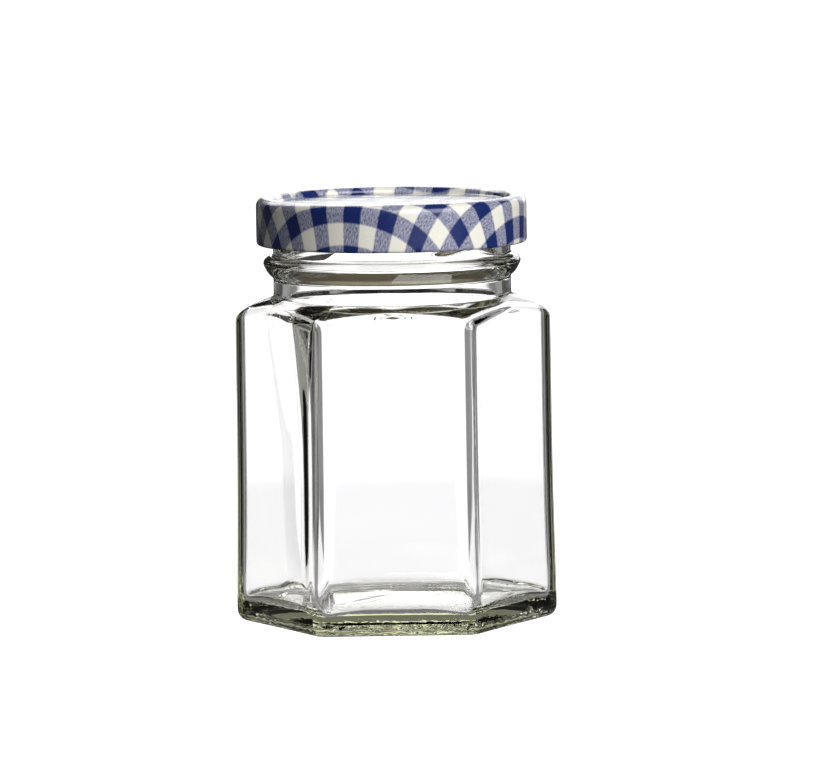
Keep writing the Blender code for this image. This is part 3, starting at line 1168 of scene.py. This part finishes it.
@dataclass
class Studio:
    """Table, soft lights and the camera, as for a picture of clear glass."""

    distance: float = 1261.8 * MM
    elevation: float = math.radians(6.05)
    roll: float = math.radians(0.85)
    focal_px: float = 6682.0
    width_px: float = 827.0
    sensor_mm: float = 36.0
    px_per_mm: float = 5.296
    target: float = 40.0 * MM
    target_off_px: Point = (-19.7, 25.0)
    # Painted lanes, and painted shade between them in place of black cards: glow seen through the
    # glass by degrees off a lane's side.
    straight_lane: Stops = ((0.0, 1.0), (10.0, 1.0), (14.0, 0.18))
    slanted_lane: Stops = ((0.0, 0.85), (4.0, 0.85), (8.0, 0.18))
    lane_half: float = 22.0 * MM
    dark_from: float = 25.0 * MM
    dark_to: float = 80.0 * MM
    near_glow: float = 1.2
    far_glow: float = 1.4
    far_from: Point = (215.0 * MM, 250.0 * MM)
    side_glow: float = 1.2
    side_from: Point = (13.0 * MM, 19.0 * MM)
    # Painted shadow under the jar: the glow seen through the glass is this share of full within
    # the first reach below, and full past the second.
    painted_shadow_under_jar: float = 0.62
    painted_shadow_reach: Point = (24.0 * MM, 34.0 * MM)
    table_radius: float = 5.0
    table_light: float = 0.06
    horizon: Point = (0.05, 0.12)
    horizon_glow: float = 1.3
    ceiling_glow: float = 0.04
    room_light: float = 0.03
    # Painted shade: share of the glow kept after a reflection inside the glass.
    painted_shade_after_reflection: float = 0.3
    seen_glow: float = 1.3
    light_distance: float = 0.8
    light_target: float = 50.0 * MM

    def place_camera(self) -> None:
        """Set up the camera where the picture was taken from."""
        data = bpy.data.cameras.new("camera")
        data.sensor_width = self.sensor_mm
        data.lens = self.focal_px / self.width_px * data.sensor_width
        data.clip_start = 0.05
        data.clip_end = 50.0
        camera = bpy.data.objects.new("camera", data)
        bpy.context.scene.collection.objects.link(camera)
        back = Vector((0.0, -math.cos(self.elevation), math.sin(self.elevation)))
        rise = Vector((0.0, math.sin(self.elevation), math.cos(self.elevation)))
        right = Vector((1.0, 0.0, 0.0))
        middle = Vector((0.0, 0.0, self.target))
        off = [value / self.px_per_mm * MM for value in self.target_off_px]
        aim = middle - right * off[0] + rise * off[1]
        camera.location = middle + back * self.distance
        facing = (aim - camera.location).to_track_quat("-Z", "Y")
        turn = Matrix.Rotation(self.roll, 4, (aim - camera.location).normalized())
        camera.rotation_mode = "QUATERNION"
        camera.rotation_quaternion = turn.to_quaternion() @ facing
        bpy.context.scene.camera = camera

    def strength(
        self, tree: bpy.types.NodeTree, through: bpy.types.NodeSocket, light: float
    ) -> bpy.types.NodeSocket:
        """Tell apart what the eye sees, what is seen through glass, and what lights the lid.

        What is seen after a reflection inside the glass is dimmed by the ray's path alone:
        painted shade that stands in for a dark room.

        Args:
            tree: Node tree of the table or the room.
            through: Output with the glow seen through glass.
            light: Glow that lights the lid.

        Returns:
            The strength of the glow.
        """
        path = add_node(tree, "ShaderNodeLightPath", {}, {}).outputs
        # Painted shade: the glow falls after one reflection inside the glass, by the ray's path
        # alone.
        kept = add_node(
            tree,
            "ShaderNodeMapRange",
            {},
            {
                "Value": path["Glossy Depth"],
                "From Max": 1.0,
                "To Min": 1.0,
                "To Max": self.painted_shade_after_reflection,
            },
        ).outputs[0]
        dimmed = add_node(
            tree, "ShaderNodeMath", {"operation": "MULTIPLY"}, {0: through, 1: kept}
        ).outputs[0]
        strength = light
        for ray, glow in (("Is Transmission Ray", dimmed), ("Is Camera Ray", self.seen_glow)):
            strength = add_node(
                tree,
                "ShaderNodeMix",
                {"data_type": "FLOAT"},
                {0: path[ray], 2: strength, 3: glow},
            ).outputs[0]
        return strength

    def lane(
        self,
        tree: bpy.types.NodeTree,
        off: bpy.types.NodeSocket,
        along: bpy.types.NodeSocket,
        stops: Stops,
    ) -> bpy.types.NodeSocket:
        """Draw bright lanes that leave the jar and widen.

        Args:
            tree: Node tree of the floor.
            off: Output with the distance from the lane's middle line.
            along: Output with the distance along that line.
            stops: Degrees from the lane's side, each with a glow.

        Returns:
            The glow.
        """
        bearing = off
        for operation, other in (
            ("SUBTRACT", self.lane_half),
            ("MAXIMUM", 0.0),
            ("ARCTAN2", along),
            ("DIVIDE", EIGHTH),
        ):
            bearing = add_node(
                tree, "ShaderNodeMath", {"operation": operation}, {0: bearing, 1: other}
            ).outputs[0]
        lane = add_node(tree, "ShaderNodeValToRGB", {}, {"Fac": bearing})
        ramp = lane.color_ramp
        while len(ramp.elements) < len(stops):
            ramp.elements.new(1.0)
        for stop, (degrees, glow) in zip(ramp.elements, stops):
            stop.position = math.radians(degrees) / EIGHTH
            stop.color = (glow, glow, glow, 1.0)
        return lane.outputs[0]

    def floor_material(self) -> bpy.types.Material:
        """White table that glows evenly to the eye.

        Seen through the glass it is bright in painted lanes from the jar outwards, a little
        brighter
        at their sides, and dark between them: painted shade in place of black cards beside a
        white table, so that the glass has dark edges from each side. Under the jar its glow
        through the glass is lower, a painted shadow, as the glowing table casts none. It lights
        the lid only a little.

        Returns:
            The floor's material.
        """
        material, tree = new_material("white acrylic table")
        place = add_node(tree, "ShaderNodeTexCoord", {}, {}).outputs["Object"]
        axes = add_node(tree, "ShaderNodeSeparateXYZ", {}, {"Vector": place}).outputs
        reach = add_node(
            tree, "ShaderNodeVectorMath", {"operation": "LENGTH"}, {0: place}
        ).outputs["Value"]
        across, along = (
            add_node(tree, "ShaderNodeMath", {"operation": "ABSOLUTE"}, {0: axis}).outputs[0]
            for axis in (axes[0], axes[1])
        )
        off, along = (
            add_node(
                tree, "ShaderNodeMath", {"operation": operation}, {0: across, 1: along}
            ).outputs[0]
            for operation in ("MINIMUM", "MAXIMUM")
        )
        lanes = self.lane(tree, off, along, self.straight_lane)
        pair = {0: along, 1: off}
        spread, total = (
            add_node(tree, "ShaderNodeMath", {"operation": operation}, pair).outputs[0]
            for operation in ("SUBTRACT", "ADD")
        )
        aside, ahead = (
            add_node(
                tree, "ShaderNodeMath", {"operation": "DIVIDE"}, {0: part, 1: math.sqrt(2)}
            ).outputs[0]
            for part in (spread, total)
        )
        slanted = self.lane(tree, aside, ahead, self.slanted_lane)
        lanes = add_node(
            tree, "ShaderNodeMath", {"operation": "MAXIMUM"}, {0: lanes, 1: slanted}
        ).outputs[0]
        dark = add_node(
            tree,
            "ShaderNodeMapRange",
            {},
            {"Value": reach, "From Min": self.dark_from, "From Max": self.dark_to},
        ).outputs[0]
        through = add_node(
            tree,
            "ShaderNodeMix",
            {"data_type": "FLOAT"},
            {0: dark, 2: 1.0, 3: lanes},
        ).outputs[0]
        for measure, edge, low, high in (
            (reach, self.far_from, self.near_glow, self.far_glow),
            # Painted shadow under the jar: lower glow through the glass near the middle.
            (reach, self.painted_shadow_reach, self.painted_shadow_under_jar, 1.0),
            (off, self.side_from, 1.0, self.side_glow),
        ):
            factor = add_node(
                tree,
                "ShaderNodeMapRange",
                {},
                {
                    "Value": measure,
                    "From Min": edge[0],
                    "From Max": edge[1],
                    "To Min": low,
                    "To Max": high,
                },
            ).outputs[0]
            through = add_node(
                tree, "ShaderNodeMath", {"operation": "MULTIPLY"}, {0: through, 1: factor}
            ).outputs[0]
        strength = self.strength(tree, through, self.table_light)
        glow = add_node(
            tree, "ShaderNodeEmission", {}, {"Color": COOL_WHITE, "Strength": strength}
        )
        add_node(tree, "ShaderNodeOutputMaterial", {}, {"Surface": glow.outputs[0]})
        return material

    def build_floor(self) -> None:
        """Lay the round table that the jar stands on."""
        bpy.ops.object.select_all(action="DESELECT")
        bpy.ops.mesh.primitive_circle_add(
            vertices=96, radius=self.table_radius, fill_type="NGON"
        )
        floor = bpy.context.object
        floor.name = "floor"
        floor.data.materials.append(self.floor_material())

    def add_softbox(
        self, name: str, direction: float, height: float, size: Point, power: float
    ) -> None:
        """Hang a soft light that looks at the jar.

        Args:
            name: Name of the light.
            direction: Degrees to the right of the front.
            height: Degrees above the jar's middle.
            size: Width and height.
            power: Power in watts.
        """
        data = bpy.data.lights.new(name, "AREA")
        data.shape = "RECTANGLE"
        data.size, data.size_y = size
        data.energy = power
        light = bpy.data.objects.new(name, data)
        bpy.context.scene.collection.objects.link(light)
        turn, rise = math.radians(direction), math.radians(height)
        back = Vector(
            (math.sin(turn) * math.cos(rise), -math.cos(turn) * math.cos(rise), math.sin(rise))
        )
        light.location = back * self.light_distance + Vector((0.0, 0.0, self.light_target))
        light.rotation_mode = "QUATERNION"
        light.rotation_quaternion = (-back).to_track_quat("-Z", "Y")
        light.visible_camera = False

    def build_world(self) -> None:
        """Dim the room, and set a plain tone scale."""
        scene = bpy.context.scene
        world = bpy.data.worlds.new("room")
        scene.world = world
        world.use_nodes = True
        world.node_tree.nodes.clear()
        tree = world.node_tree
        direction = add_node(tree, "ShaderNodeTexCoord", {}, {}).outputs["Generated"]
        rise = add_node(tree, "ShaderNodeSeparateXYZ", {}, {"Vector": direction}).outputs[2]
        low, high = self.horizon
        through = add_node(
            tree,
            "ShaderNodeMapRange",
            {},
            {
                "Value": rise,
                "From Min": low,
                "From Max": high,
                "To Min": self.horizon_glow,
                "To Max": self.ceiling_glow,
            },
        ).outputs[0]
        strength = self.strength(tree, through, self.room_light)
        glow = add_node(
            tree, "ShaderNodeBackground", {}, {"Color": COOL_WHITE, "Strength": strength}
        )
        add_node(tree, "ShaderNodeOutputWorld", {}, {"Surface": glow.outputs[0]})
        scene.view_settings.view_transform = "Standard"
        scene.view_settings.look = "None"
        scene.cycles.max_bounces = 24
        scene.cycles.transmission_bounces = 24
        scene.cycles.glossy_bounces = 8
        scene.cycles.diffuse_bounces = 1
        scene.cycles.caustics_refractive = True
        scene.cycles.caustics_reflective = False

    def build(self) -> None:
        """Set up the whole studio."""
        self.place_camera()
        self.build_world()
        self.build_floor()
        self.add_softbox("key softbox", direction=34, height=25, size=(0.85, 0.6), power=8.7)
        self.add_softbox("back softbox", direction=168, height=20, size=(0.5, 0.5), power=1.5)
        self.add_softbox("fill softbox", direction=205, height=38, size=(0.5, 0.4), power=2.4)
        LOG.info("studio ready")


def main() -> None:
    """Build the jar, its lid and the studio."""
    logging.basicConfig(level=logging.INFO, format="%(name)s: %(message)s")
    Studio().build()
    GlassJar().build()
    TwistOffLid().build()


if __name__ == "__main__":
    main()
